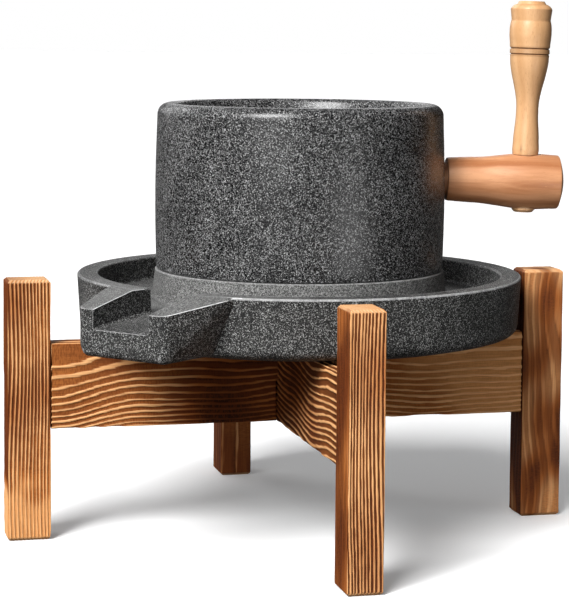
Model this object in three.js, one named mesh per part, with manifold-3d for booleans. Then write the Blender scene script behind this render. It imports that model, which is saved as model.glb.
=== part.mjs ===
// Household rotary quern: a runner stone turning on a bed stone with a collecting trough and spout,
// a beech crank handle let into the runner's side, and a cross-shaped softwood stand.
// Millimetres, +Z up. The origin is on the ground under the crossing of the stand's two rails.
import * as THREE from "three";
import { ConvexGeometry } from "three/addons/geometries/ConvexGeometry.js";
import { mergeVertices } from "three/addons/utils/BufferGeometryUtils.js";
import Module from "manifold-3d";

const wasm = await Module();
wasm.setup();

// ---- driving dimensions -------------------------------------------------------------------------
const GAP = 0.3; // clearance between pieces that touch

const STAND = {
  span: 495, // outer face of one leg to outer face of the opposite one
  legWidth: 37, // along the rail that the leg ends
  legDepth: 30, // across that rail
  legHeight: 222,
  legChamfer: 2.5,
  railTop: 167.5,
  railHeight: 73,
  railThickness: 28,
  tenonThickness: 12,
  tenonHeight: 50,
  tenonLength: 20,
};

const STONE_CENTRE = { x: 12, y: 15 }; // the stones sit a little off the crossing

const BED = {
  footRadius: 168, // flat underside that rests on the rails
  lowerRadius: 187,
  wallBaseRadius: 191.5,
  rimRadius: 194,
  troughRadius: 175.8,
  bossFootRadius: 129.3,
  bossTopRadius: 126.2,
  edgeLift: 4.5, // the underside is bevelled up this far towards its edge
  edgeRound: 9,
  rimTop: 221.3,
  bossTop: 225.2,
  troughFloor: 200.7,
  softEdge: 1.6,
};

const SPOUT = {
  heading: -139, // degrees from +X, seen from above
  reach: 246, // from the stones' axis to the end face
  halfWidth: 43.5, // at the end
  rootReach: 181,
  rootHalfWidth: 66, // the cheeks flare where they leave the rim
  footHalfWidth: 45, // of the same root at the underside
  channelHalfWidth: 28,
  slopeStart: 197,
  endTop: 211,
  lip: 195,
  corner: 4,
};

const RUNNER = {
  bottomRadius: 125.3,
  bellyRadius: 126.3,
  shoulderRadius: 124.6,
  rimCrestRadius: 114.5,
  dishRadius: 104,
  top: 369.2,
  shoulder: 359,
  dishDepth: 24,
  dishFall: 7, // the dish floor falls this much towards its middle
  eyeRadius: 15,
  eyeOffset: 52, // the feed eye is beside the axis, clear of the spindle
};

const SPINDLE = { radius: 7, bedDepth: 26, rise: 24, clearance: 0.5 };

const HANDLE = {
  heading: -10, // degrees from +X, seen from above
  axisHeight: 303.5, // arm's axis where it leaves the runner
  droop: 1.5, // degrees
  socketDepth: 34,
  socketRadius: 15,
  neckRadius: 18.9,
  bellyRadius: 24.6,
  endRadius: 23.5,
  endReach: 227, // from the stones' axis to the arm's end edge
  domeHeight: 5,
  gripReach: 198, // from the stones' axis to the grip's axis
  gripTop: 158, // above the arm's axis
  tenonRadius: 10,
  tenonProud: 2.4,
};

const ROUND_SEGMENTS = { stone: 72, arm: 36, grip: 32, hole: 28 };

// ---- materials ------------------------------------------------------------------------------------
const finish = (color, roughness, metalness = 0) =>
  new THREE.MeshStandardMaterial({ color, roughness, metalness });
const polishedStone = () => finish(0x3a3c3e, 0.42);
const honedStone = () => finish(0x5a5c5e, 0.7);
const charredPine = () => finish(0x9c5f33, 0.75);
const beech = () => finish(0xd9a56e, 0.5);
const steel = () => finish(0x9a9ea3, 0.35, 1);

// ---- small tools ----------------------------------------------------------------------------------
const degrees = (angle) => THREE.MathUtils.degToRad(angle);

function toSolid(geometry) {
  const bare = geometry.index ? geometry.toNonIndexed() : geometry.clone();
  bare.deleteAttribute("normal");
  bare.deleteAttribute("uv");
  const merged = mergeVertices(bare, 1e-4);
  return new wasm.Manifold(
    new wasm.Mesh({
      numProp: 3,
      vertProperties: new Float32Array(merged.attributes.position.array),
      triVerts: new Uint32Array(merged.index.array),
    }),
  );
}

function toGeometry(solid) {
  const mesh = solid.getMesh();
  const geometry = new THREE.BufferGeometry();
  geometry.setAttribute("position", new THREE.BufferAttribute(mesh.vertProperties, 3));
  geometry.setIndex(new THREE.BufferAttribute(mesh.triVerts, 1));
  geometry.computeVertexNormals();
  return geometry;
}

const cut = (body, ...tools) =>
  toGeometry(tools.reduce((left, tool) => left.subtract(toSolid(tool)), toSolid(body)));

// A turned body: the profile is a list of [radius, height], the axis is +Z.
function turned(profile, segments) {
  const points = profile.map(([radius, height]) => new THREE.Vector2(radius, height));
  return new THREE.LatheGeometry(points, segments).rotateX(Math.PI / 2);
}

function rod(radius, bottom, top, segments = ROUND_SEGMENTS.hole) {
  return turned([[0, bottom], [radius, bottom], [radius, top], [0, top]], segments);
}

function box(xMin, xMax, yMin, yMax, zMin, zMax) {
  const block = new THREE.BoxGeometry(xMax - xMin, yMax - yMin, zMax - zMin);
  return block.translate((xMin + xMax) / 2, (yMin + yMax) / 2, (zMin + zMax) / 2);
}

// A quarter-round between two radii and two heights, as profile points.
function quarterRound(centreR, centreZ, radius, fromAngle, toAngle, steps) {
  return Array.from({ length: steps + 1 }, (_, i) => {
    const angle = degrees(fromAngle + ((toAngle - fromAngle) * i) / steps);
    return [centreR + radius * Math.cos(angle), centreZ + radius * Math.sin(angle)];
  });
}

const quern = new THREE.Group();

function addPiece(name, geometry, material, parent = quern) {
  const piece = new THREE.Mesh(geometry, material);
  piece.name = name;
  parent.add(piece);
  return piece;
}

// ---- the stand: two rails halved together at the crossing, a leg on each end ---------------------
const legInnerFace = STAND.span / 2 - STAND.legWidth;
const railEnd = legInnerFace - GAP;
const railBottom = STAND.railTop - STAND.railHeight;
const railMiddle = (STAND.railTop + railBottom) / 2;

// A rail along X with a stub tenon at each end and a halving notch in its middle.
function railGeometry(notchFromTop) {
  const half = STAND.railThickness / 2;
  const body = toSolid(box(-railEnd, railEnd, -half, half, railBottom, STAND.railTop));
  const tenons = toSolid(
    box(
      -railEnd - STAND.tenonLength,
      railEnd + STAND.tenonLength,
      -STAND.tenonThickness / 2,
      STAND.tenonThickness / 2,
      railMiddle - STAND.tenonHeight / 2,
      railMiddle + STAND.tenonHeight / 2,
    ),
  );
  const notchHalf = half + GAP;
  const notch = notchFromTop
    ? box(-notchHalf, notchHalf, -half - 1, half + 1, railMiddle - GAP / 2, STAND.railTop + 1)
    : box(-notchHalf, notchHalf, -half - 1, half + 1, railBottom - 1, railMiddle + GAP / 2);
  return toGeometry(body.add(tenons).subtract(toSolid(notch)));
}

// A leg on the +X end of a rail: chamfered at both ends, with a mortise in its inner face.
function legGeometry() {
  const outline = new THREE.Shape();
  const halfWidth = STAND.legWidth / 2 - STAND.legChamfer;
  const halfDepth = STAND.legDepth / 2 - STAND.legChamfer;
  outline.moveTo(-halfWidth, -halfDepth);
  outline.lineTo(halfWidth, -halfDepth);
  outline.lineTo(halfWidth, halfDepth);
  outline.lineTo(-halfWidth, halfDepth);
  outline.closePath();
  const post = new THREE.ExtrudeGeometry(outline, {
    depth: STAND.legHeight - 2 * STAND.legChamfer,
    bevelEnabled: true,
    bevelThickness: STAND.legChamfer,
    bevelSize: STAND.legChamfer,
    bevelSegments: 1,
  });
  post.translate(legInnerFace + STAND.legWidth / 2, 0, STAND.legChamfer);
  const mortiseHalf = STAND.tenonThickness / 2 + GAP;
  const mortise = box(
    legInnerFace - 1,
    legInnerFace + STAND.tenonLength + GAP,
    -mortiseHalf,
    mortiseHalf,
    railMiddle - STAND.tenonHeight / 2 - GAP,
    railMiddle + STAND.tenonHeight / 2 + GAP,
  );
  return cut(post, mortise);
}

addPiece("rail_long", railGeometry(false), charredPine());
addPiece("rail_cross", railGeometry(true), charredPine()).rotation.z = Math.PI / 2;

const legHeadings = { leg_right: 0, leg_back: 90, leg_left: 180, leg_front: 270 };
for (const [name, heading] of Object.entries(legHeadings)) {
  addPiece(name, legGeometry(), charredPine()).rotation.z = degrees(heading);
}

// ---- the stones share one upright axis -----------------------------------------------------------
const stones = new THREE.Group();
stones.position.set(STONE_CENTRE.x, STONE_CENTRE.y, 0);
quern.add(stones);

// ---- bed stone: disc with a raised boss, a trough round it and a spout, all cut from one block ---
const bedBottom = STAND.railTop + GAP;

function bedProfile() {
  const lowerEdge = bedBottom + BED.edgeLift;
  return [
    [0, bedBottom],
    [BED.footRadius, bedBottom],
    [BED.lowerRadius, lowerEdge],
    [BED.wallBaseRadius - 1, lowerEdge + BED.edgeRound * 0.5],
    [BED.wallBaseRadius, lowerEdge + BED.edgeRound],
    [BED.rimRadius, BED.rimTop - BED.softEdge],
    [BED.rimRadius - BED.softEdge, BED.rimTop],
    [BED.troughRadius + BED.softEdge, BED.rimTop],
    [BED.troughRadius, BED.rimTop - BED.softEdge],
    [BED.troughRadius - 1, BED.troughFloor + 2],
    [BED.troughRadius - 3, BED.troughFloor],
    [BED.bossFootRadius + 2, BED.troughFloor],
    [BED.bossFootRadius, BED.troughFloor + 2],
    [BED.bossTopRadius, BED.bossTop - 0.8],
    [BED.bossTopRadius - 0.8, BED.bossTop],
    [0, BED.bossTop],
  ];
}

// The spout heads along +X: flared at the top where it leaves the rim, upright and narrower below,
// its top falling towards the end, its end corners and lower edges chamfered.
function spoutBlock() {
  const bottom = bedBottom + BED.edgeLift;
  const { reach, corner, halfWidth } = SPOUT;
  const levels = [
    { height: bottom, inset: corner },
    { height: bottom + corner, inset: 0 },
    { height: SPOUT.endTop, inset: 0 },
  ];
  const corners = [];
  for (const side of [-1, 1]) {
    for (const { height, inset } of levels) {
      corners.push([reach - inset, side * (halfWidth - corner), height]);
      corners.push([reach - corner, side * (halfWidth - inset), height]);
    }
    corners.push([SPOUT.rootReach, side * (SPOUT.footHalfWidth - corner), bottom]);
    corners.push([SPOUT.rootReach, side * SPOUT.footHalfWidth, bottom + corner]);
    corners.push([SPOUT.rootReach, side * SPOUT.rootHalfWidth, BED.rimTop - 0.3]);
    corners.push([SPOUT.slopeStart, side * SPOUT.channelHalfWidth, BED.rimTop]);
  }
  return new ConvexGeometry(corners.map((point) => new THREE.Vector3(...point)));
}

// A wedge standing across the spout: profile points are [distance from the axis, height].
function crossWedge(profile, halfWidth) {
  const outline = new THREE.Shape(profile.map(([reach, height]) => new THREE.Vector2(reach, height)));
  const wedge = new THREE.ExtrudeGeometry(outline, { depth: 2 * halfWidth, bevelEnabled: false });
  return wedge.rotateX(Math.PI / 2).translate(0, halfWidth, 0);
}

function bedGeometry() {
  const beyond = SPOUT.reach + 10;
  const channelStart = BED.troughRadius - 8;
  const floorFall = (SPOUT.lip - BED.troughFloor) / (SPOUT.reach - BED.troughRadius);
  const channel = crossWedge(
    [
      [channelStart, BED.troughFloor],
      [BED.troughRadius, BED.troughFloor],
      [beyond, BED.troughFloor + floorFall * (beyond - BED.troughRadius)],
      [beyond, BED.rimTop + 5],
      [channelStart, BED.rimTop + 5],
    ],
    SPOUT.channelHalfWidth,
  );
  const heading = degrees(SPOUT.heading);
  const block = spoutBlock().rotateZ(heading);
  const disc = turned(bedProfile(), ROUND_SEGMENTS.stone);
  const joined = toSolid(disc).add(toSolid(block));
  const pinHole = rod(SPINDLE.radius + GAP, BED.bossTop - SPINDLE.bedDepth - GAP, BED.bossTop + 5);
  return toGeometry(joined.subtract(toSolid(channel.rotateZ(heading))).subtract(toSolid(pinHole)));
}

addPiece("bed_stone", bedGeometry(), honedStone(), stones);

// ---- spindle: a short steel pin leaded into the bed stone, the runner turns on it ----------------
const spindleTop = BED.bossTop + GAP + SPINDLE.rise;
addPiece(
  "spindle_pin",
  turned(
    [
      [0, BED.bossTop - SPINDLE.bedDepth],
      [SPINDLE.radius, BED.bossTop - SPINDLE.bedDepth],
      [SPINDLE.radius, spindleTop - 3],
      [SPINDLE.radius - 3, spindleTop],
      [0, spindleTop],
    ],
    ROUND_SEGMENTS.hole,
  ),
  steel(),
  stones,
);

// ---- runner stone: barrel-sided drum with a dished top, a feed eye and two sockets ---------------
const runnerBottom = BED.bossTop + GAP;

function runnerProfile() {
  const edge = 1.5;
  const crestRound = RUNNER.shoulderRadius - RUNNER.rimCrestRadius;
  const belly = Array.from({ length: 5 }, (_, i) => {
    const rise = i / 4;
    const bulge = Math.sin(rise * Math.PI);
    const straight = THREE.MathUtils.lerp(RUNNER.bottomRadius, RUNNER.shoulderRadius, rise);
    const extra = RUNNER.bellyRadius - (RUNNER.bottomRadius + RUNNER.shoulderRadius) / 2;
    const height = THREE.MathUtils.lerp(runnerBottom + edge, RUNNER.shoulder, rise);
    return [straight + bulge * extra, height];
  });
  const dishTop = RUNNER.top - RUNNER.dishDepth;
  return [
    [0, runnerBottom],
    [RUNNER.bottomRadius - edge, runnerBottom],
    ...belly,
    ...quarterRound(RUNNER.rimCrestRadius, RUNNER.shoulder, crestRound, 15, 90, 5),
    ...quarterRound(RUNNER.rimCrestRadius, RUNNER.top - 6, 6, 100, 170, 4),
    [RUNNER.dishRadius, dishTop + 6],
    [RUNNER.dishRadius - 2, dishTop + 2],
    [RUNNER.dishRadius - 7, dishTop],
    [0, dishTop - RUNNER.dishFall],
  ];
}

// The droop turns about the point where the arm's axis meets the runner's side.
const handlePivot = RUNNER.bellyRadius;
const socketStart = handlePivot - HANDLE.socketDepth;

function alongArm(geometry) {
  // from +Z to +X, then sloped down by the droop
  return geometry
    .rotateY(Math.PI / 2)
    .translate(-handlePivot, 0, 0)
    .rotateY(degrees(HANDLE.droop))
    .translate(handlePivot, 0, HANDLE.axisHeight);
}

function runnerGeometry() {
  const drum = turned(runnerProfile(), ROUND_SEGMENTS.stone);
  const eye = rod(RUNNER.eyeRadius, runnerBottom - 5, RUNNER.top).translate(0, RUNNER.eyeOffset, 0);
  const pinSocket = rod(
    SPINDLE.radius + SPINDLE.clearance,
    runnerBottom - 5,
    spindleTop + SPINDLE.clearance,
  );
  const armSocket = alongArm(rod(HANDLE.socketRadius + GAP, socketStart, handlePivot + 20));
  return cut(drum, eye, pinSocket, armSocket);
}

const runner = new THREE.Group();
runner.rotation.z = degrees(HANDLE.heading);
stones.add(runner);
addPiece("runner_stone", runnerGeometry(), polishedStone(), runner);

// ---- handle arm: a turned beech bar, necked where it meets the stone, its spigot in the socket ---
const shoulderReach = RUNNER.bellyRadius + 2.2;

function armProfile() {
  const swellStart = 150;
  const swellEnd = 200;
  const swell = Array.from({ length: 6 }, (_, i) => {
    const t = i / 5;
    const eased = THREE.MathUtils.smoothstep(t, 0, 1);
    const reach = THREE.MathUtils.lerp(swellStart, swellEnd, t);
    return [THREE.MathUtils.lerp(HANDLE.neckRadius + 1.2, HANDLE.bellyRadius, eased), reach];
  });
  const dome = Array.from({ length: 4 }, (_, i) => {
    const share = 1 - (i + 1) / 5; // of the end's radius
    return [HANDLE.endRadius * share, HANDLE.endReach + HANDLE.domeHeight * (1 - share ** 2)];
  });
  return [
    [0, socketStart + 1],
    [HANDLE.socketRadius, socketStart + 1],
    [HANDLE.socketRadius, shoulderReach],
    [HANDLE.neckRadius - 0.8, shoulderReach],
    [HANDLE.neckRadius, shoulderReach + 0.8],
    ...swell,
    [HANDLE.endRadius + 0.4, HANDLE.endReach - 12],
    [HANDLE.endRadius, HANDLE.endReach],
    ...dome,
    [0, HANDLE.endReach + HANDLE.domeHeight],
  ];
}

// Places a body turned about +Z, heights from the arm's axis, on the grip's axis.
function onGripAxis(geometry) {
  return geometry
    .translate(HANDLE.gripReach - handlePivot, 0, 0)
    .rotateY(degrees(HANDLE.droop))
    .translate(handlePivot, 0, HANDLE.axisHeight);
}

const gripHole = onGripAxis(rod(HANDLE.tenonRadius + GAP, -40, 40));
const gripFoot = HANDLE.bellyRadius + GAP;
const gripSeat = onGripAxis(rod(14, gripFoot - 1.5, gripFoot + 6));
const armBlank = alongArm(turned(armProfile(), ROUND_SEGMENTS.arm));
addPiece("handle_arm", cut(armBlank, gripHole, gripSeat), beech(), runner);

// ---- handle grip: a turned pear-shaped knob on a slim neck, its tenon right through the arm ------
function gripProfile() {
  const top = HANDLE.gripTop;
  const bottom = -HANDLE.bellyRadius - HANDLE.tenonProud;
  const groove = (depth) => [
    [17.0, top - depth + 1],
    [16.2, top - depth],
    [17.0, top - depth - 1],
  ];
  return [
    [0, bottom],
    [HANDLE.tenonRadius - 2, bottom],
    [HANDLE.tenonRadius, bottom + 2],
    [HANDLE.tenonRadius, gripFoot - 1.2],
    [11.2, gripFoot - 1.2],
    [11.6, gripFoot + 5],
    [10.6, gripFoot + 16],
    [9.9, gripFoot + 26],
    [9.8, gripFoot + 44],
    [10.4, gripFoot + 54],
    [11.6, gripFoot + 63],
    [13.4, gripFoot + 71],
    [15.6, gripFoot + 78],
    ...groove(46.5).reverse(),
    [17.6, top - 44],
    ...groove(41.5).reverse(),
    [18.2, top - 36],
    [18.3, top - 26],
    [17.5, top - 15],
    [15.2, top - 6.5],
    [13, top - 2],
    [10.9, top],
    [0, top],
  ];
}

addPiece("handle_grip", onGripAxis(turned(gripProfile(), ROUND_SEGMENTS.grip)), beech(), runner);

export default quern;
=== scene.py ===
import math

import bmesh
import bpy
import numpy as np
from mathutils import Matrix, Vector


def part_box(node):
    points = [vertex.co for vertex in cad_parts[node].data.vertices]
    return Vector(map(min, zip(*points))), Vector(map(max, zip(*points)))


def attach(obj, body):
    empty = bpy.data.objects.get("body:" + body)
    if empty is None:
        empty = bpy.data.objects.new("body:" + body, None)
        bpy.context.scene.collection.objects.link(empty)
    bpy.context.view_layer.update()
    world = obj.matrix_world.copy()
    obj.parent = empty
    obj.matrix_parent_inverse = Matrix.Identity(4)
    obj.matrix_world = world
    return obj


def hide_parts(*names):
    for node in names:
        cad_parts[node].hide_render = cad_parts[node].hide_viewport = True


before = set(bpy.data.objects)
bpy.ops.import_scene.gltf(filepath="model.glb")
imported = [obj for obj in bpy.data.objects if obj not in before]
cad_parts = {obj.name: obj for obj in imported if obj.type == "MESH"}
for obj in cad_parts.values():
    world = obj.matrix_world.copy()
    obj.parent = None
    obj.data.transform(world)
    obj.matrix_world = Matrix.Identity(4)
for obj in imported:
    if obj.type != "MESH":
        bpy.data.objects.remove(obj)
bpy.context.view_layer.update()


# ---- The stand's rails and legs ------------------------------------------------------------------
# Six pieces of sawn softwood, scorched and then wire-brushed: the soft wood of each growth ring is
# burnt and brushed away, the hard wood stands up as a pale rib. The rails are halved together on
# edge under the stones, and each ends in a leg whose ends are planed with a narrow chamfer.

MM = 0.001
RIB_DEPTH = 0.85 * MM
SAW_STEP_ALONG = 2.6 * MM
LEG_STEP_ACROSS = 0.43 * MM
RAIL_STEP_ACROSS = 0.56 * MM
LONG_ARRIS = 1.0 * MM
END_CHAMFER = 2.4 * MM
BUTTED_CHAMFER = 0.2 * MM
END_EASING = 0.72
MERGED = 0.004 * MM
RIPPLE_WAVES = 9
RIPPLE_HEIGHT = 3.2
RING_DRAWS = 4096
PALE_RIB = (0.90, 0.48, 0.205, 1)
PALE_END = (1.0, 0.64, 0.34, 1)
UNBURNT = (0.76, 0.345, 0.12, 1)
WARM_RIB = (0.48, 0.155, 0.033, 1)
SCORCHED = (0.165, 0.038, 0.0065, 1)
DEEP_CHAR = (0.032, 0.0075, 0.002, 1)


def ripple(places, wave, seed):
    """A smooth, repeatable unevenness between about -1 and 1; wave holds a wavelength per axis."""
    draw = np.random.default_rng(seed)
    total = np.zeros(len(places))
    for _ in range(RIPPLE_WAVES):
        turn = draw.normal(size=3)
        turn /= np.linalg.norm(turn)
        pace = 2 * math.pi * draw.uniform(0.6, 1.6) * turn / np.asarray(wave)
        total += np.sin(places @ pace + draw.uniform(0, 2 * math.pi))
    return total / RIPPLE_HEIGHT


def ease(low, high, value):
    """A smooth step from 0 at low to 1 at high."""
    share = np.clip((value - low) / (high - low), 0, 1)
    return share * share * (3 - 2 * share)


def new_piece(name, mesh_builder, body, slot, *nodes):
    mesh = bpy.data.meshes.new(name)
    mesh_builder.to_mesh(mesh)
    mesh_builder.free()
    piece = bpy.data.objects.new(name, mesh)
    bpy.context.scene.collection.objects.link(piece)
    if body:
        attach(piece, body)
        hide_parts(*nodes)
    return piece


def block_between(low, high):
    block = bmesh.new()
    bmesh.ops.create_cube(block, size=1.0)
    bmesh.ops.scale(block, vec=Vector(high) - Vector(low), verts=block.verts)
    bmesh.ops.translate(block, vec=(Vector(low) + Vector(high)) / 2, verts=block.verts)
    return block


def sawn_block(low, high, along, step_across):
    """A closed block with a fine grid on every face, finer across the grain than along it."""
    block = block_between(low, high)
    for axis in range(3):
        step = SAW_STEP_ALONG if axis == along else step_across
        cuts = round((high - low)[axis] / step)
        across = [
            edge for edge in block.edges
            if abs((edge.verts[0].co - edge.verts[1].co)[axis]) > 0.5 * (high - low)[axis]
        ]
        bmesh.ops.subdivide_edges(block, edges=across, cuts=cuts, use_grid_fill=True)
    return block


def plane_arrises(places, low, high, along, chamfer):
    """Gathers the rows towards the ends, chamfers the ends and rounds the long arrises."""
    middle, half = (low + high) / 2, (high - low) / 2
    local = places - middle
    share = np.clip(local[:, along] / half[along], -1, 1)
    local[:, along] = half[along] * ((1 - END_EASING) * share + END_EASING * np.sin(share * math.pi / 2))
    across = [axis for axis in range(3) if axis != along]
    to_end = half[along] - np.abs(local[:, along])
    to_side = np.min([half[a] - np.abs(local[:, a]) for a in across], axis=0)
    on_end = to_end < 1e-6
    ring = np.where(to_side < chamfer, (chamfer + to_side) / 2, to_side)
    inset = np.where(to_end < chamfer, (chamfer - to_end) / 2, 0)
    for a in across:
        end_scale = (half[a] - ring) / np.maximum(half[a] - to_side, 1e-6)
        side_scale = (half[a] - inset) / half[a]
        local[:, a] *= np.where(on_end, end_scale, side_scale)
    drop = np.where(on_end, np.maximum(chamfer - to_side, 0) / 2, inset)
    local[:, along] -= np.sign(local[:, along]) * drop
    room = np.array([half[a] - LONG_ARRIS for a in across])
    flat = local[:, across]
    kept = np.clip(flat, -room, room)
    out = flat - kept
    reach = np.maximum(np.linalg.norm(out, axis=1, keepdims=True), 1e-9)
    local[:, across] = kept + out * np.minimum(1, LONG_ARRIS / reach)
    return local + middle


def growth_rings(places, board):
    """Counts the growth rings out from the pith, whose line wanders along the board."""
    along = board["along"]
    side, rise = [axis for axis in range(3) if axis != along]
    run = places[:, along]
    wander = np.zeros(len(places))
    for height, length, start in board["waves"]:
        wander += height * np.sin(2 * math.pi * run / length + start)
    if "dip" in board:
        depth, at, width = board["dip"]
        wander -= depth * (1 - ease(at, at + width, run))
    pith_side, pith_rise = board["pith"]
    out = np.hypot(places[:, side] - pith_side, places[:, rise] - pith_rise - wander)
    fine = np.full(3, 2.4 * MM)
    fine[along] = 22 * MM
    broad = np.full(3, 34 * MM)
    broad[along] = 150 * MM
    count = (out / board["ring"]) ** board.get("tightening", 1.0)
    count += 0.05 * ripple(places, fine, board["seed"]) + 0.2 * ripple(places, broad, board["seed"] + 1)
    return count


def ribs(count, seed, share):
    """How far each place belongs to a hard rib: it rises slowly, then drops at the ring's edge."""
    ring = np.floor(count).astype(int)
    part = count - ring
    draw = np.random.default_rng(seed)
    strength = draw.uniform(0.68, 1.0, RING_DRAWS)[ring % RING_DRAWS]
    start = 1 - share + draw.uniform(-0.1, 0.1, RING_DRAWS)[ring % RING_DRAWS]
    rise = ease(0, 1, (part - start) / 0.2)
    fall = 1 - ease(0.9, 0.995, part)
    return strength * rise * fall, part


def combine(piece, tool, operation="DIFFERENCE"):
    """Cuts a piece by a closed tool, or joins the tool to it, and keeps the result as its mesh."""
    helper = new_piece("tool", tool, None, None)
    step = piece.modifiers.new("tool", "BOOLEAN")
    step.operation, step.solver, step.object = operation, "EXACT", helper
    depsgraph = bpy.context.evaluated_depsgraph_get()
    made = bpy.data.meshes.new_from_object(piece.evaluated_get(depsgraph), depsgraph=depsgraph)
    piece.modifiers.clear()
    spare, piece.data = piece.data, made
    bpy.data.meshes.remove(spare)
    bpy.data.meshes.remove(helper.data)
    made.name = piece.name
    healed = bmesh.new()
    healed.from_mesh(made)
    bmesh.ops.remove_doubles(healed, verts=healed.verts, dist=MERGED)
    bmesh.ops.dissolve_degenerate(healed, edges=healed.edges, dist=MERGED)
    healed.to_mesh(made)
    healed.free()


def points_of(mesh, label):
    values = np.empty(len(mesh.vertices) * 3)
    mesh.vertices.foreach_get(label, values)
    return values.reshape(-1, 3)


def mark_points(mesh, **layers):
    """Stores plain numbers or vectors on a mesh's points, for its material to read."""
    for label, values in layers.items():
        kind, field = ("FLOAT_VECTOR", "vector") if values.ndim == 2 else ("FLOAT", "value")
        layer = mesh.attributes.new(label, kind, "POINT")
        layer.data.foreach_set(field, values.ravel())


def brushed_board(name, board, body):
    """One board: sawn and chamfered, halved if it is a rail, then brushed and its tones marked."""
    low, high = (Vector(corner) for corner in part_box(name))
    along = board["along"]
    upright = along == 2
    if not upright:
        low[along], high[along] = -rail_reach, rail_reach
    block = sawn_block(low, high, along, LEG_STEP_ACROSS if upright else RAIL_STEP_ACROSS)
    piece = new_piece("brushed_" + name, block, body, "charred_pine", name)
    mesh = piece.data
    chamfer = END_CHAMFER if upright else BUTTED_CHAMFER
    places = plane_arrises(points_of(mesh, "co"), np.array(low), np.array(high), along, chamfer)
    mesh.vertices.foreach_set("co", places.ravel())
    mesh.update()
    if "halving" in board:
        combine(piece, block_between(*board["halving"]))
        mesh = piece.data
        places = points_of(mesh, "co")
    facing = points_of(mesh, "normal")
    count = growth_rings(places, board)
    rib, part = ribs(count, board["seed"] + 2, board.get("rib_share", 0.5))
    to_end = np.minimum(places[:, along] - low[along], high[along] - places[:, along])
    end_grain = ease(0.5, 0.8, np.abs(facing[:, along])) * (to_end < 2 * END_CHAMFER) * upright
    coarse = 1 + 0.35 * ripple(places, np.full(3, 0.06), board["seed"] + 3)
    depth = RIB_DEPTH * board.get("brushing", 1.0) * coarse * (1 - 0.75 * end_grain) * (1 - rib)
    places = places - facing * np.clip(depth, 0, 1.5 * RIB_DEPTH)[:, None]
    mesh.vertices.foreach_set("co", places.ravel())
    patches = ripple(places, board.get("patch", (0.1, 0.1, 0.1)), board["seed"] + 4)
    tone = board.get("tone", 0.5) + board.get("mottle", 0.3) * patches
    # Painted shade: a rail is darkened round its middle, where it runs in shade under the stones.
    if "shade_under_stones" in board:
        at, width, darkness = board["shade_under_stones"]
        tone += darkness * np.exp(-(((places[:, along] - at) / width) ** 2))
    # Painted shade: faces turned towards −X are darkened, standing in for the shade on the boards' left
    # sides.
    tone += board.get("painted_shade_side", 0.5) * ease(0.5, 0.9, -facing[:, 0]) * (along != 0)
    char = np.full(len(places), board.get("char", 0.0))
    if "pale_foot" in board:
        uneven = 8 * MM * ripple(places, np.full(3, 0.03), board["seed"] + 5)
        foot = 1 - ease(0.015, 0.075, places[:, 2] + uneven)
        tone -= board["pale_foot"] * foot
        char *= 1 - foot
    # Painted light: the long rail's right end is lightened where the bed stone's shadow falls on it.
    if "painted_light_end" in board:
        at, width, paleness = board["painted_light_end"]
        tone -= paleness * ease(at, at + width, places[:, along])
    contrast = board.get("contrast", 1.0)
    rib = rib * contrast + 0.42 * (1 - contrast)
    lengthwise = np.roll(places, 2 - along, axis=1) + board["seed"] * 0.31
    mark_points(
        mesh, rib=rib, ring_part=part, scorch=np.clip(tone, -1.2, 2), char=char, end_grain=end_grain,
        lengthwise=lengthwise,
    )
    mesh.polygons.foreach_set("use_smooth", np.ones(len(mesh.polygons), bool))
    mesh.update()
    return piece


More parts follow.
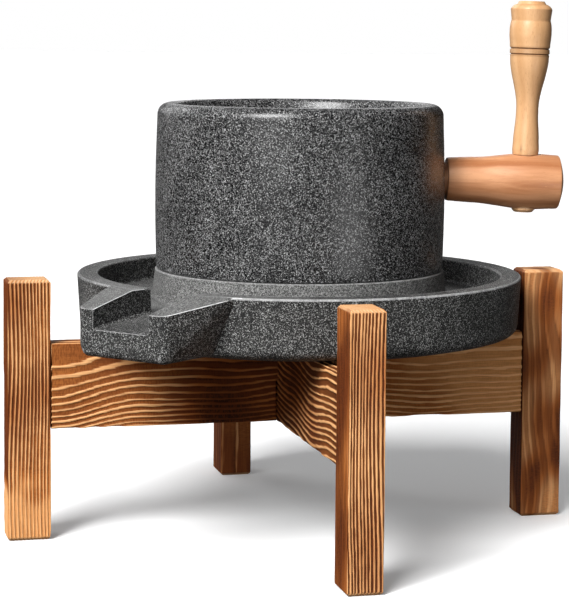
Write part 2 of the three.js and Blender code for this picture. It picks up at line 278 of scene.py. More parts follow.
class Shading:
    """A material's nodes, added and wired by short calls."""

    def __init__(self, name):
        self.material = bpy.data.materials.new(name)
        self.material.use_nodes = True
        self.tree = self.material.node_tree
        self.shader = self.tree.nodes["Principled BSDF"]

    def node(self, kind, **settings):
        made = self.tree.nodes.new(kind)
        for key, value in settings.items():
            setattr(made, key, value)
        return made

    def wire(self, value, socket):
        if isinstance(value, bpy.types.NodeSocket):
            self.tree.links.new(value, socket)
        else:
            socket.default_value = value

    def attribute(self, label, output="Fac"):
        return self.node("ShaderNodeAttribute", attribute_name=label).outputs[output]

    def place(self):
        return self.node("ShaderNodeTexCoord").outputs["Object"]

    def mapped(self, vector, scale=(1, 1, 1), location=(0, 0, 0)):
        mapping = self.node("ShaderNodeMapping")
        self.wire(vector, mapping.inputs["Vector"])
        mapping.inputs["Scale"].default_value = scale
        mapping.inputs["Location"].default_value = location
        return mapping.outputs["Vector"]

    def noise(self, vector, scale, detail=3.0, roughness=0.5, distortion=0.0):
        made = self.node("ShaderNodeTexNoise")
        self.wire(vector, made.inputs["Vector"])
        made.inputs["Scale"].default_value = scale
        made.inputs["Detail"].default_value = detail
        made.inputs["Roughness"].default_value = roughness
        made.inputs["Distortion"].default_value = distortion
        return made.outputs["Fac"]

    def crystals(self, vector, scale):
        made = self.node("ShaderNodeTexVoronoi")
        self.wire(vector, made.inputs["Vector"])
        made.inputs["Scale"].default_value = scale
        return made.outputs["Color"]

    def math(self, operation, *values):
        made = self.node("ShaderNodeMath", operation=operation)
        for value, socket in zip(values, made.inputs):
            self.wire(value, socket)
        return made.outputs[0]

    def spread(self, value, low, high, to_low=0.0, to_high=1.0):
        made = self.node("ShaderNodeMapRange", interpolation_type="SMOOTHSTEP")
        self.wire(value, made.inputs["Value"])
        limits = {"From Min": low, "From Max": high, "To Min": to_low, "To Max": to_high}
        for label, number in limits.items():
            self.wire(number, made.inputs[label])
        return made.outputs["Result"]

    def blend(self, share, first, second, mode="MIX"):
        made = self.node("ShaderNodeMix", data_type="RGBA", blend_type=mode)
        self.wire(share, made.inputs[0])
        self.wire(first, made.inputs[6])
        self.wire(second, made.inputs[7])
        return made.outputs[2]

    def bump(self, height, distance, strength=1.0, under=None):
        made = self.node("ShaderNodeBump")
        self.wire(height, made.inputs["Height"])
        made.inputs["Distance"].default_value = distance
        made.inputs["Strength"].default_value = strength
        if under:
            self.wire(under, made.inputs["Normal"])
        return made.outputs["Normal"]

    def finish(self, color, roughness, normal=None, **constants):
        self.wire(color, self.shader.inputs["Base Color"])
        self.wire(roughness, self.shader.inputs["Roughness"])
        if normal:
            self.wire(normal, self.shader.inputs["Normal"])
        for label, value in constants.items():
            self.shader.inputs[label.replace("_", " ")].default_value = value
        return self.material


def scorched_softwood():
    look = Shading("scorched_brushed_softwood")
    rib, part = look.attribute("rib"), look.attribute("ring_part")
    scorch, end_grain = look.attribute("scorch"), look.attribute("end_grain")
    lengthwise = look.attribute("lengthwise", "Vector")
    fibres = look.noise(look.mapped(lengthwise, scale=(900, 900, 45)), 1.0, 3.0, 0.6)
    ticks = look.noise(look.mapped(lengthwise, scale=(240, 240, 900)), 1.0, 2.0, 0.55)
    clouds = look.noise(look.mapped(lengthwise, scale=(30, 30, 11)), 1.0, 3.0, 0.5)
    # The scorch value carries the boards' painted shade and painted light along with their scorching.
    burn_and_painted_light = look.math("ADD", scorch, look.math("MULTIPLY", look.math("SUBTRACT", clouds, 0.5), 0.7))
    valley = look.blend(look.spread(burn_and_painted_light, -0.1, 0.95), WARM_RIB, SCORCHED)
    valley = look.blend(look.spread(burn_and_painted_light, -1.1, -0.25), UNBURNT, valley)
    valley = look.blend(look.spread(burn_and_painted_light, 0.9, 1.7), valley, DEEP_CHAR)
    charred = look.math("MULTIPLY", look.attribute("char"), look.spread(clouds, 0.2, 0.6, 0.6, 1))
    valley = look.blend(charred, valley, DEEP_CHAR)
    foot = look.spread(part, 0.0, 0.28, 0.75, 0.0)
    valley = look.blend(look.math("MULTIPLY", foot, look.spread(burn_and_painted_light, 0.1, 0.9)), valley, DEEP_CHAR)
    strength = look.spread(burn_and_painted_light, -0.7, 0.3, 0.1, 0.55)
    streaked = look.math("MULTIPLY", look.spread(ticks, 0.42, 0.62), strength)
    valley = look.blend(streaked, valley, SCORCHED)
    crest = look.blend(look.spread(burn_and_painted_light, 0.4, 1.15), PALE_RIB, WARM_RIB)
    crest = look.blend(look.spread(burn_and_painted_light, 0.95, 1.6), crest, SCORCHED)
    color = look.blend(look.spread(rib, 0.1, 0.8), valley, crest)
    color = look.blend(look.spread(fibres, 0.35, 0.75, 0.0, 0.3), color, SCORCHED, "MULTIPLY")
    endwise = look.blend(look.spread(rib, 0.1, 0.7, 0.0, 0.85), PALE_END, WARM_RIB)
    endwise = look.blend(look.spread(clouds, 0.4, 0.75, 0.0, 0.4), endwise, WARM_RIB)
    endwise = look.blend(look.spread(burn_and_painted_light, 0.6, 1.2, 0.0, 0.9), endwise, SCORCHED)
    color = look.blend(look.math("MULTIPLY", end_grain, 0.85), color, endwise)
    rough = look.spread(rib, 0.0, 1.0, 0.78, 0.5)
    fine = look.math("ADD", look.math("MULTIPLY", fibres, 0.7), look.math("MULTIPLY", ticks, 0.5))
    return look.finish(color, rough, look.bump(fine, 0.35 * MM, 0.6), Specular_IOR_Level=0.2)


fit_gap = 0.3 * MM
rail_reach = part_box("leg_right")[0].x - fit_gap
rail_low, rail_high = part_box("rail_long")
halving_half = rail_high.y + fit_gap
halving_height = (rail_low.z + rail_high.z) / 2
past = 0.02
# For each board: the axis it runs along, its ring width and the place of its pith, how the pith
# wanders (height, length, start), and how deeply it is scorched, charred and brushed, and where,
# with painted shade on its −X sides and under the stones, and painted light at the long rail's right end.
boards = {
    "rail_long": {
        "along": 0, "ring": 19.3 * MM, "tightening": 1.7, "pith": (0.016, 0.181), "seed": 11,
        "waves": [(1.6 * MM, 0.21, 0.6), (0.7 * MM, 0.083, 2.0)], "dip": (14 * MM, -0.2, 0.07),
        "tone": 0.22, "char": 0.12, "shade_under_stones": (-0.01, 0.085, 1.35), "painted_light_end": (0.05, 0.06, 1.1),
        "brushing": 0.85, "rib_share": 0.47,
        "halving": (
            (-halving_half, -past, rail_low.z - past),
            (halving_half, past, halving_height + fit_gap / 2),
        ),
    },
    "rail_cross": {
        "along": 1, "ring": 4.9 * MM, "pith": (0.024, 0.205), "seed": 23, "tone": 0.4, "char": 0.72,
        "waves": [(7 * MM, 0.33, 1.1), (1.8 * MM, 0.1, 0.3)], "shade_under_stones": (0.0, 0.1, 0.75),
        "painted_shade_side": 0.1, "rib_share": 0.47,
        "halving": (
            (-past, -halving_half, halving_height - fit_gap / 2),
            (past, halving_half, rail_high.z + past),
        ),
    },
    "leg_left": {
        "along": 2, "ring": 2.35 * MM, "pith": (-0.31, 0.055), "seed": 37, "tone": 0.5, "char": 0.2,
        "waves": [(0.9 * MM, 0.21, 0.0)], "pale_foot": 1.7, "rib_share": 0.52, "painted_shade_side": 1.1,
    },
    "leg_front": {
        "along": 2, "ring": 2.0 * MM, "pith": (0.075, -0.17), "seed": 41, "tone": 0.66, "char": 0.6,
        "waves": [(1.6 * MM, 0.35, 2.0)], "rib_share": 0.62, "painted_shade_side": 0.65,
    },
    "leg_right": {
        "along": 2, "ring": 4.6 * MM, "pith": (0.262, 0.03), "seed": 59, "tone": 0.92, "painted_shade_side": 1.1,
        "waves": [(4 * MM, 0.3, 0.9), (1.2 * MM, 0.11, 0.0)], "brushing": 0.3, "pale_foot": 0.5,
        "contrast": 0.2, "patch": (0.035, 0.035, 0.07), "mottle": 0.5,
    },
    "leg_back": {
        "along": 2, "ring": 7.4 * MM, "pith": (0.05, 0.30), "seed": 67, "tone": 0.6, "brushing": 0.3,
        "waves": [(1.5 * MM, 0.25, 0.0)], "painted_shade_side": 0.3, "rib_share": 0.3, "contrast": 0.6,
    },
}
softwood = scorched_softwood()
stand_body = "stand_and_bed"
for name, board in boards.items():
    brushed_board(name, board, stand_body).data.materials.append(softwood)


# ---- The bed stone -------------------------------------------------------------------------------
# One block of fine speckled basalt: a disc with a raised round boss, a trough turned round it, and a
# spout left standing at the rim. It is honed dull, and its arrises are rubbed to a pale grey line,
# with a painted highlight on the edges that face front right and along the rim's front.

stone_middle = Vector(((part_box("spindle_pin")[0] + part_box("spindle_pin")[1]) / 2).xy.to_3d())
bed_low, bed_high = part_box("bed_stone")
BED_FOOT = 168
BED_EDGE_LIFT = 4.5
BED_RIM, BED_WALL_FOOT, BED_RIM_TOP = 194, 191, 221.3
RIM_ROUND, CHANNEL_ROUND, LIP_FLARE = 1.8, 3, 1.5
TROUGH_RIM, TROUGH_FOOT, TROUGH_FLOOR = 175.8, 174.6, 200.7
BOSS_FOOT, BOSS_TOP_RADIUS = 129.1, 126.2
BED_BOTTOM, BOSS_TOP = bed_low.z / MM, bed_high.z / MM
SPOUT_HEADING = -139
SPOUT_REACH, SPOUT_ROOT, SPOUT_SLOPE_START = 246, 181, 197
SPOUT_HALF, SPOUT_ROOT_HALF, SPOUT_FOOT_HALF = 43.5, 66, 45
SPOUT_END_TOP, SPOUT_LIP, CHANNEL_HALF = 211, 195, 28
SPOUT_LOWER_ROUND, SPOUT_UPPER_ROUND = 6.0, 2.6
CHANNEL_START = BOSS_FOOT + 24
PIN_HOLE, PIN_HOLE_DEPTH = 7.3, 26.3
STONE_STEPS = 288
RUBBED_BOSS, CHEEK_EDGE_HIGHLIGHT, SPOUT_END_WEAR_AND_HIGHLIGHT, RUBBED_RIM = 0.14, 1.0, 0.3, 0.1
FRONT_RIM_HIGHLIGHT, FRONT_RIM_HIGHLIGHT_TOWARDS = 0.3, 50


def outline(*corners, arc_step=10):
    """Points of a profile whose corners are (distance, height, rounding), each rounded by an arc."""
    points = [Vector(corners[0][:2])]
    for before, corner, after in zip(corners, corners[1:], corners[2:]):
        here, rounding = Vector(corner[:2]), corner[2]
        arriving = (here - Vector(before[:2])).normalized()
        leaving = (Vector(after[:2]) - here).normalized()
        bend = math.atan2(arriving.cross(leaving), arriving.dot(leaving))
        start = here - arriving * rounding * math.tan(abs(bend) / 2)
        centre = start + Vector((-arriving.y, arriving.x)) * math.copysign(rounding, bend)
        steps = max(1, round(abs(math.degrees(bend)) / arc_step)) if rounding else 0
        for i in range(steps + 1):
            turn = Matrix.Rotation(bend * i / max(steps, 1), 2)
            points.append(centre + turn @ (start - centre))
    points.append(Vector(corners[-1][:2]))
    return points


def turned(profile, steps):
    """A body turned about +Z from a profile of (radius, height) in mm, closed on the axis."""
    body = bmesh.new()
    points = [body.verts.new((radius * MM, 0, height * MM)) for radius, height in profile]
    lines = [body.edges.new(pair) for pair in zip(points, points[1:])]
    bmesh.ops.spin(
        body, geom=points + lines, axis=(0, 0, 1), cent=(0, 0, 0), angle=2 * math.pi, steps=steps,
        use_merge=True,
    )
    bmesh.ops.remove_doubles(body, verts=body.verts, dist=1e-6)
    bmesh.ops.recalc_face_normals(body, faces=body.faces)
    return body


def rod(radius, low, high, steps=48):
    return turned([(0, low), (radius, low), (radius, high), (0, high)], steps)


def channel_tool(half_width, start, lips):
    """The space of the spout's channel along +X; with lips its upper edges flare, rounding the rim."""
    lip = LIP_FLARE if lips else 0
    top = BED_RIM_TOP + 12
    section = outline(
        (-half_width - lip, top), (-half_width - lip, BED_RIM_TOP, 0),
        (-half_width, BED_RIM_TOP - LIP_FLARE, 0), (-half_width, TROUGH_FLOOR, CHANNEL_ROUND),
        (half_width, TROUGH_FLOOR, CHANNEL_ROUND), (half_width, BED_RIM_TOP - LIP_FLARE, 0),
        (half_width + lip, BED_RIM_TOP, 0), (half_width + lip, top),
    )
    tool = bmesh.new()
    ends = [tool.verts.new((start * MM, side * MM, height * MM)) for side, height in section]
    face = tool.faces.new(ends)
    fall = (SPOUT_LIP - TROUGH_FLOOR) / (SPOUT_REACH - TROUGH_RIM)
    for reach in (TROUGH_RIM, SPOUT_REACH + 14):
        behind = face
        grown = bmesh.ops.extrude_face_region(tool, geom=[behind])["geom"]
        if reach > TROUGH_RIM and behind.is_valid:  # it would part the level and the falling length
            bmesh.ops.delete(tool, geom=[behind], context="FACES_ONLY")
        face = next(part for part in grown if isinstance(part, bmesh.types.BMFace))
        for corner in face.verts:
            corner.co.x = reach * MM
            if corner.co.z < (TROUGH_FLOOR + CHANNEL_ROUND + 0.1) * MM:
                corner.co.z += fall * max(0, reach - TROUGH_RIM) * MM
    bmesh.ops.recalc_face_normals(tool, faces=tool.faces)
    return tool


def spout_block():
    """The spout along +X, before it joins the disc: a flared block with its channel already sunk."""
    foot = BED_BOTTOM + BED_EDGE_LIFT
    block = bmesh.new()
    for side in (-1, 1):
        for reach, half, height in (
            (SPOUT_REACH, SPOUT_HALF, foot), (SPOUT_REACH, SPOUT_HALF, SPOUT_END_TOP),
            (SPOUT_ROOT, SPOUT_FOOT_HALF, foot), (SPOUT_ROOT, SPOUT_ROOT_HALF, BED_RIM_TOP - 0.3),
            (SPOUT_SLOPE_START, CHANNEL_HALF, BED_RIM_TOP),
        ):
            block.verts.new((reach * MM, side * half * MM, height * MM))
    bmesh.ops.convex_hull(block, input=block.verts)
    bmesh.ops.dissolve_limit(block, angle_limit=math.radians(0.5), verts=block.verts, edges=block.edges)
    bmesh.ops.recalc_face_normals(block, faces=block.faces)
    piece = new_piece("spout", block, None, None)
    combine(piece, channel_tool(CHANNEL_HALF + 0.05, SPOUT_ROOT - 20, False))
    block = bmesh.new()
    block.from_mesh(piece.data)
    bpy.data.meshes.remove(piece.data)
    bmesh.ops.dissolve_limit(block, angle_limit=math.radians(1), verts=block.verts, edges=block.edges)
    root = (SPOUT_ROOT + 6) * MM
    lower = (0, foot + 1, SPOUT_LOWER_ROUND)
    upper = (foot + 1, BED_RIM_TOP + 1, SPOUT_UPPER_ROUND)
    for low, high, width in (lower, upper):
        sharp = []
        for edge in block.edges:
            least, most = sorted(corner.co.z / MM for corner in edge.verts)
            outward = max(corner.co.x for corner in edge.verts) > root
            level = low < least and most < high
            upright = width == SPOUT_LOWER_ROUND and least < foot + 1 and most - least > 20
            if outward and (level or upright) and edge.is_manifold:
                if edge.calc_face_angle_signed() > math.radians(24):
                    sharp.append(edge)
        bmesh.ops.bevel(
            block, geom=sharp, offset=width * MM, offset_type="OFFSET", segments=4, profile=0.5,
            affect="EDGES", clamp_overlap=True, material=-1,
        )
    return block


def pale_boss_and_tops(look):
    """Where the bed stone is paler: the boss's side, and what faces up beside the spout outside the
    channel.
    """
    around = look.node("ShaderNodeMapping", vector_type="TEXTURE")
    look.wire(look.place(), around.inputs["Vector"])
    around.inputs["Location"].default_value = stone_middle
    around.inputs["Rotation"].default_value = (0, 0, math.radians(SPOUT_HEADING))
    axes = look.node("ShaderNodeSeparateXYZ")
    look.wire(around.outputs["Vector"], axes.inputs[0])
    ahead, aside, height = axes.outputs
    squares = look.math("ADD", look.math("POWER", ahead, 2.0), look.math("POWER", aside, 2.0))
    radius = look.math("SQRT", squares)
    facing = look.node("ShaderNodeSeparateXYZ")
    look.wire(look.node("ShaderNodeNewGeometry").outputs["Normal"], facing.inputs[0])
    upward = look.spread(facing.outputs[2], 0.35, 0.85)
    near_spout = look.spread(look.math("DIVIDE", ahead, radius), 0.72, 0.93)
    past_trough = look.spread(radius, 0.170, 0.178)
    low_down = look.spread(height, 0.2045, 0.2085, 1, 0)
    in_channel = look.math("MULTIPLY", past_trough, low_down)
    near_spout = look.math("MULTIPLY", near_spout, look.math("SUBTRACT", 1.0, in_channel))
    within_boss = look.spread(radius, 0.1295, 0.1315, 1, 0)
    boss = look.math("MULTIPLY", within_boss, look.spread(height, 0.199, 0.203))
    return look.math("MAXIMUM", boss, look.math("MULTIPLY", upward, near_spout))


def speckled_stone(name, dark, middle, pale, dullness, shine, seed, pale_mask=None):
    """Interlocked mineral grains, each under a millimetre, with larger clouds of paler rock."""
    look = Shading(name)
    place = look.mapped(look.place(), location=(seed, seed * 0.7, seed * 0.3))
    coarse = look.crystals(place, 1500)
    fine = look.crystals(place, 2500)
    clouds = look.noise(place, 26, 4.0, 0.6)
    mottle = look.noise(place, 170, 3.0, 0.65)
    grey = look.math("ADD", look.math("MULTIPLY", coarse, 0.7), look.math("MULTIPLY", fine, 0.3))
    grey = look.math("ADD", grey, look.math("MULTIPLY", look.math("SUBTRACT", mottle, 0.5), 0.1))
    grey = look.math("ADD", grey, look.math("MULTIPLY", look.math("SUBTRACT", clouds, 0.5), 0.16))
    color = look.blend(look.spread(grey, 0.3, 0.6), dark, middle)
    color = look.blend(look.spread(grey, 0.61, 0.79), color, pale)
    # The arris mark holds rubbed wear and painted highlight.
    edge_wear_and_highlight = look.math("MULTIPLY", look.attribute("arris"), look.spread(mottle, 0.25, 0.6, 0.45, 1.0))
    if pale_mask:
        paler_grey = look.blend(look.spread(grey, 0.28, 0.8, 0.0, 0.66), middle, pale)
        color = look.blend(look.math("MULTIPLY", pale_mask(look), 0.85), color, paler_grey)
        color = look.blend(edge_wear_and_highlight, color, (0.8, 0.8, 0.8, 1))
    else:
        color = look.blend(look.math("MULTIPLY", edge_wear_and_highlight, 0.3), color, pale)
    grains = look.spread(grey, 0.3, 0.8, dullness, dullness + 0.14)
    rough = look.math("ADD", grains, look.math("MULTIPLY", clouds, 0.06))
    waviness = look.bump(look.noise(place, 14, 2.0, 0.4), 0.9 * MM, 0.5)
    pitted = look.math("ADD", look.math("MULTIPLY", grey, 0.6), look.noise(place, 900, 2.0, 0.6))
    normal = look.bump(pitted, 0.22 * MM, min(1.0, 0.25 + dullness), waviness)
    return look.finish(color, rough, normal, Specular_IOR_Level=shine)


def mark_arrises(mesh, wear_and_highlight, widest=0.8):
    """Marks the narrow faces that round a piece's outward edges; the given function says how pale each is
    made, partly rubbed wear and partly painted highlight.
    """
    shape = bmesh.new()
    shape.from_mesh(mesh)
    edge_wear_and_highlight = np.zeros(len(shape.faces))
    for face in shape.faces:
        narrow = min(edge.calc_length() for edge in face.edges) < widest * MM and len(face.edges) <= 5
        bends = [edge.calc_face_angle_signed(0) for edge in face.edges if edge.is_manifold]
        outward = bends and max(bends) > math.radians(6) and min(bends) > math.radians(-4)
        if narrow and outward:
            edge_wear_and_highlight[face.index] = wear_and_highlight(face.calc_center_median(), face.normal)
    shape.free()
    layer = mesh.attributes.new("arris", "FLOAT", "FACE")
    layer.data.foreach_set("value", edge_wear_and_highlight)


def shade_by_angle(piece, angle=32):
    mesh = piece.data
    mesh.polygons.foreach_set("use_smooth", np.ones(len(mesh.polygons), bool))
    mesh.set_sharp_from_angle(angle=math.radians(angle))
    finish = piece.modifiers.new("even_shading", "WEIGHTED_NORMAL")
    finish.keep_sharp = True


bed_profile = outline(
    (0, BED_BOTTOM), (BED_FOOT, BED_BOTTOM, 8), (BED_WALL_FOOT, BED_BOTTOM + BED_EDGE_LIFT + 0.8, 8),
    (BED_RIM, BED_RIM_TOP, RIM_ROUND), (TROUGH_RIM, BED_RIM_TOP, RIM_ROUND),
    (TROUGH_FOOT, TROUGH_FLOOR, CHANNEL_ROUND), (BOSS_FOOT, TROUGH_FLOOR, CHANNEL_ROUND),
    (BOSS_TOP_RADIUS, BOSS_TOP, 1.3), (0, BOSS_TOP),
)


def bed_wear_and_highlight(place, facing):
    """The rims are rubbed all round. Painted highlights lie on the cheek edges facing front right and up,
    along the rim's front, and on the spout's end corners, which are rubbed too.
    """
    if place.xy.length < (BOSS_FOOT + 2) * MM:
        return RUBBED_BOSS
    cheek = place.x > TROUGH_RIM * MM and abs(place.y) < (SPOUT_ROOT_HALF + 4) * MM
    # Painted highlight: cheek edges facing front right and up are made palest.
    if cheek and facing.y > 0.08 and facing.z > 0.08 and abs(facing.x) < 0.6:
        return CHEEK_EDGE_HIGHLIGHT
    if cheek and place.x > (SPOUT_REACH - 8) * MM and abs(facing.z) < 0.3:
        return SPOUT_END_WEAR_AND_HIGHLIGHT
    # Painted highlight: the rim's upper edge is paler towards its front.
    outer = facing.z > 0.2 and place.xy.length > (BED_RIM - 4) * MM
    towards = math.cos(math.atan2(place.y, place.x) - math.radians(FRONT_RIM_HIGHLIGHT_TOWARDS))
    return RUBBED_RIM + FRONT_RIM_HIGHLIGHT * outer * max(0, towards)


bed = new_piece(
    "honed_bed_stone", turned(bed_profile, STONE_STEPS), stand_body, "honed_stone", "bed_stone",
)
combine(bed, channel_tool(CHANNEL_HALF, CHANNEL_START, True))
combine(bed, spout_block(), "UNION")
combine(bed, rod(PIN_HOLE, BOSS_TOP - PIN_HOLE_DEPTH, BOSS_TOP + 5))
mark_arrises(bed.data, bed_wear_and_highlight)
spout_turn = Matrix.Rotation(math.radians(SPOUT_HEADING), 4, "Z")
bed.data.transform(Matrix.Translation(stone_middle) @ spout_turn)
shade_by_angle(bed)
honed = speckled_stone(
    "honed_speckled_basalt", dark=(0.004, 0.004, 0.004, 1), middle=(0.028, 0.028, 0.027, 1),
    pale=(0.47, 0.47, 0.46, 1), dullness=0.5, shine=0.3, seed=3.1, pale_mask=pale_boss_and_tops,
)
bed.data.materials.append(honed)


# ---- The spindle pin -----------------------------------------------------------------------------
# A short turned steel pin leaded into the middle of the bed stone. The runner is lowered over it.

look = Shading("turned_pin_steel")
turning = look.noise(look.mapped(look.place(), scale=(40, 40, 5200)), 1.0, 2.0, 0.5)
stain = look.noise(look.place(), 180, 3.0, 0.55)
color = look.blend(look.spread(stain, 0.35, 0.7), (0.46, 0.47, 0.48, 1), (0.26, 0.25, 0.24, 1))
rough = look.math("ADD", look.spread(turning, 0.3, 0.7, 0.24, 0.4), look.math("MULTIPLY", stain, 0.1))
pin_steel = look.finish(color, rough, look.bump(turning, 0.05 * MM, 0.5), Metallic=1.0)
for material_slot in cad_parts["spindle_pin"].material_slots:
    material_slot.material = pin_steel


# ---- The runner stone ----------------------------------------------------------------------------
# The upper stone, a drum of the same rock with barely swelling sides, polished all over. Its top is
# dished to hold grain, with an eye to feed it, and a socket in the side takes the handle.

ARM_HEADING = -10
RUNNER_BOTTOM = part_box("runner_stone")[0].z / MM
RUNNER_TOP, RUNNER_SHOULDER, RUNNER_FOOT_EASED = 369.2, 359, 1.5
RUNNER_FOOT, RUNNER_BELLY, RUNNER_SHOULDER_RADIUS = 125.3, 126.3, 124.6
RIM_CREST, DISH_RADIUS, DISH_DEPTH, DISH_FALL = 114.5, 104, 24, 7
CREST_INNER_ROUND, DISH_CORNER = 6, 8
EYE_RADIUS, EYE_OFFSET, PIN_SOCKET, PIN_SOCKET_TOP = 15, 52, 7.5, 250
ARM_AXIS_HEIGHT, ARM_DROOP, ARM_SOCKET, SOCKET_DEPTH = 303.5, 1.5, 15.3, 34
on_arm_axis = (
    Matrix.Translation(stone_middle)
    @ Matrix.Rotation(math.radians(ARM_HEADING), 4, "Z")
    @ Matrix.Translation((RUNNER_BELLY * MM, 0, ARM_AXIS_HEIGHT * MM))
    @ Matrix.Rotation(math.radians(ARM_DROOP), 4, "Y")
    @ Matrix.Translation((-RUNNER_BELLY * MM, 0, 0))
)
along_arm = on_arm_axis @ Matrix.Rotation(math.radians(90), 4, "Y")
on_stones = Matrix.Translation(stone_middle) @ Matrix.Rotation(math.radians(ARM_HEADING), 4, "Z")


def arc(middle, height, radius, start, end, steps):
    turns = [math.radians(start + (end - start) * i / steps) for i in range(steps + 1)]
    return [(middle + radius * math.cos(turn), height + radius * math.sin(turn)) for turn in turns]


def moved(shape, place):
    bmesh.ops.transform(shape, matrix=place, verts=shape.verts)
    return shape


belly = []
for step in range(17):
    rise = step / 16
    straight = RUNNER_FOOT + (RUNNER_SHOULDER_RADIUS - RUNNER_FOOT) * rise
    swell = RUNNER_BELLY - (RUNNER_FOOT + RUNNER_SHOULDER_RADIUS) / 2
    height = RUNNER_BOTTOM + RUNNER_FOOT_EASED
    height += (RUNNER_SHOULDER - RUNNER_BOTTOM - RUNNER_FOOT_EASED) * rise
    belly.append((straight + swell * math.sin(math.pi * rise), height))
dish_floor = RUNNER_TOP - DISH_DEPTH
crest_round = RUNNER_SHOULDER_RADIUS - RIM_CREST
runner_profile = [
    (0, RUNNER_BOTTOM), (RUNNER_FOOT - RUNNER_FOOT_EASED, RUNNER_BOTTOM),
    (RUNNER_FOOT - 0.4, RUNNER_BOTTOM + 0.5), *belly[:-1],
    *arc(RIM_CREST, RUNNER_SHOULDER, crest_round, 2, 90, 14),
    *arc(RIM_CREST, RUNNER_TOP - CREST_INNER_ROUND, CREST_INNER_ROUND, 100, 165, 8),
    *arc(DISH_RADIUS - DISH_CORNER, dish_floor + DISH_CORNER, DISH_CORNER, -8, -86, 9),
    (50, dish_floor - DISH_FALL / 2), (0, dish_floor - DISH_FALL),
]
eye_tool = turned(
    [
        (0, RUNNER_BOTTOM - 5), (EYE_RADIUS, RUNNER_BOTTOM - 5), (EYE_RADIUS, dish_floor - 8),
        *arc(EYE_RADIUS + 5, dish_floor - 8, 5, 180, 100, 6), (EYE_RADIUS + 8, RUNNER_TOP),
        (0, RUNNER_TOP),
    ],
    64,
)
runner = new_piece(
    "polished_runner_stone", moved(turned(runner_profile, STONE_STEPS), on_stones), "runner",
    "polished_stone", "runner_stone",
)
combine(runner, moved(eye_tool, on_stones @ Matrix.Translation((0, EYE_OFFSET * MM, 0))))
combine(runner, moved(rod(PIN_SOCKET, RUNNER_BOTTOM - 5, PIN_SOCKET_TOP), on_stones))
combine(runner, moved(rod(ARM_SOCKET, RUNNER_BELLY - SOCKET_DEPTH, RUNNER_BELLY + 20), along_arm))
mark_arrises(runner.data, lambda place, facing: 0.4, 0.6)
shade_by_angle(runner)
polished = speckled_stone(
    "polished_speckled_basalt", dark=(0.003, 0.003, 0.0032, 1), middle=(0.024, 0.024, 0.0245, 1),
    pale=(0.45, 0.45, 0.45, 1), dullness=0.2, shine=0.5, seed=1.7,
)
runner.data.materials.append(polished)


# ---- The handle ----------------------------------------------------------------------------------
# Two turnings of steamed beech, oiled to a satin: an arm whose spigot is glued into the runner's
# side, and a pear-shaped grip on a slim neck whose tenon goes right through the arm's end.

ARM_SPIGOT, ARM_NECK, ARM_BELLY, ARM_END = 15, 18.9, 24.6, 23.5
ARM_SHOULDER, ARM_END_REACH, ARM_DOME = RUNNER_BELLY + 2.2, 227, 5
SWELL_START, SWELL_END = 150, 200
GRIP_REACH, GRIP_TOP, GRIP_RADIUS, GRIP_CROWN, TENON_RADIUS = 198, 158, 18.35, 34, 10
TENON_GAP, SEAT_RADIUS = 0.3, 14
DOME_SHARES = (0.92, 0.84, 0.72, 0.6, 0.45, 0.3, 0.15)
GRIP_FOOT = ARM_BELLY + TENON_GAP
RING_GROOVES = (GRIP_TOP - 46.5, GRIP_TOP - 41.5)


def oiled_beech(name, pale, deep, blush):
    look = Shading(name)
    grain = look.attribute("lengthwise", "Vector")
    bands = look.noise(look.mapped(grain, scale=(95, 95, 5)), 1.0, 4.0, 0.55, 0.4)
    tone = look.noise(look.mapped(grain, scale=(22, 22, 4)), 1.0, 2.0, 0.5)
    pores = look.noise(look.mapped(grain, scale=(1300, 1300, 150)), 1.0, 2.0, 0.6)
    rays = look.noise(look.mapped(grain, scale=(520, 1900, 260)), 1.0, 1.0, 0.5)
    color = look.blend(look.spread(bands, 0.3, 0.72), pale, deep)
    color = look.blend(look.spread(tone, 0.4, 0.75, 0.0, 0.35), color, blush)
    color = look.blend(look.spread(pores, 0.58, 0.72, 0.0, 0.5), color, (0.50, 0.22, 0.085, 1))
    color = look.blend(look.spread(rays, 0.64, 0.74, 0.0, 0.4), color, (0.58, 0.27, 0.11, 1))
    color = look.blend(look.attribute("end_grain"), color, (0.52, 0.26, 0.11, 1))
    color = look.blend(look.attribute("burnt_mark"), color, (0.07, 0.022, 0.008, 1))
    rough = look.spread(pores, 0.4, 0.8, 0.36, 0.55)
    normal = look.bump(look.math("ADD", bands, look.math("MULTIPLY", pores, 0.8)), 0.12 * MM, 0.5)
    return look.finish(color, rough, normal, Coat_Weight=0.18, Coat_Roughness=0.25)


def turned_beech(name, profile, steps, place, marks, *nodes):
    """A turning with its own lengthwise coordinates. Marks are dark spots, each an angle, a height,
    a width and a length in mm; a mark without an angle goes right round, as a burnt line does."""
    shape = turned(profile, steps)
    local = np.array([corner.co[:] for corner in shape.verts])
    facing_end = np.array([abs(corner.normal.z) for corner in shape.verts])
    piece = new_piece(name, moved(shape, place), "runner", "beech", *nodes)
    stain = np.zeros(len(local))
    for turn, height, wide, tall in marks:
        if turn is None:
            off = np.abs(local[:, 2] - height * MM) / (tall * MM)
        else:
            spot = Matrix.Rotation(math.radians(turn), 3, "Z") @ Vector((1, 0, 0))
            out = local[:, :2] @ np.array(spot[:2])
            across = local[:, :2] @ np.array([-spot[1], spot[0]])
            off = np.hypot(across / (wide * MM), (local[:, 2] - height * MM) / (tall * MM)) + 9 * (out < 0)
        stain = np.maximum(stain, np.clip(1.3 - off, 0, 1))
    end_grain = 0.45 * ease(0.75, 0.98, facing_end)
    mark_points(piece.data, lengthwise=local, end_grain=end_grain, burnt_mark=0.85 * stain)
    return piece


def eased_run(first, last, steps):
    """Profile points from one (radius, height) to another along a smooth S."""
    run = []
    for step in range(steps + 1):
        share = step / steps
        radius = first[0] + (last[0] - first[0]) * share * share * (3 - 2 * share)
        run.append((radius, first[1] + (last[1] - first[1]) * share))
    return run


